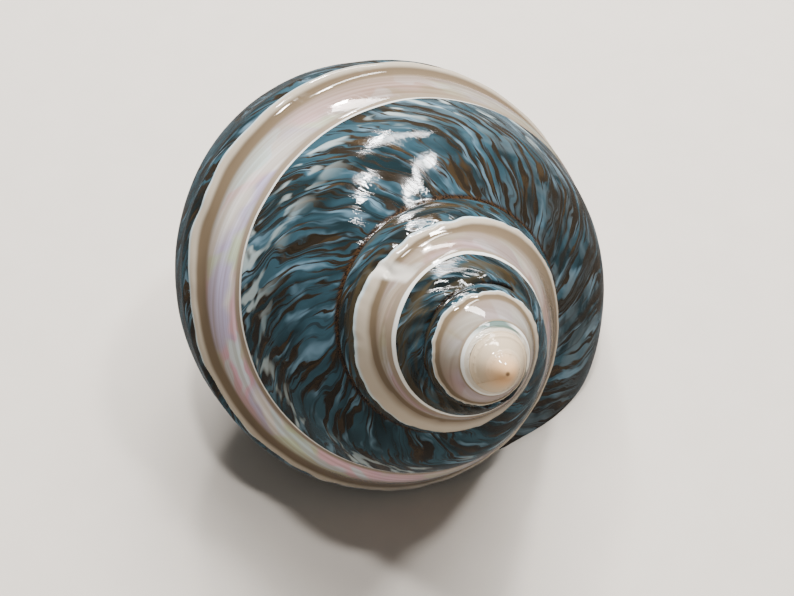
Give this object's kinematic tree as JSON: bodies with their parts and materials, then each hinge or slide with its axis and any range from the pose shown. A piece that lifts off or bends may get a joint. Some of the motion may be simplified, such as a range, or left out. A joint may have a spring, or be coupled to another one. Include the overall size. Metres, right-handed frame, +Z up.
{
  "type": "turban shell",
  "caption": "Polished turban sea shell lying on its mouth: a tapering coiled spire over a round body whorl, blue-green with a pearly band and a hollow inside.",
  "frame": {"origin": "middle of the box around the shell, on the surface that it lies on", "axes": "+Z up from the surface; +X to the right and +Y away from the viewer when the tip leans toward the viewer"},
  "size_m": [0.0519, 0.0532, 0.0343],
  "materials": {
    "polished_shell": "natural shell polished to a gloss: blue-green outer layer with brown growth streaks, and a pearly band where it is ground through"
  },
  "bodies": {
    "root": {"shell": "polished_shell"}
  },
  "joints": []
}
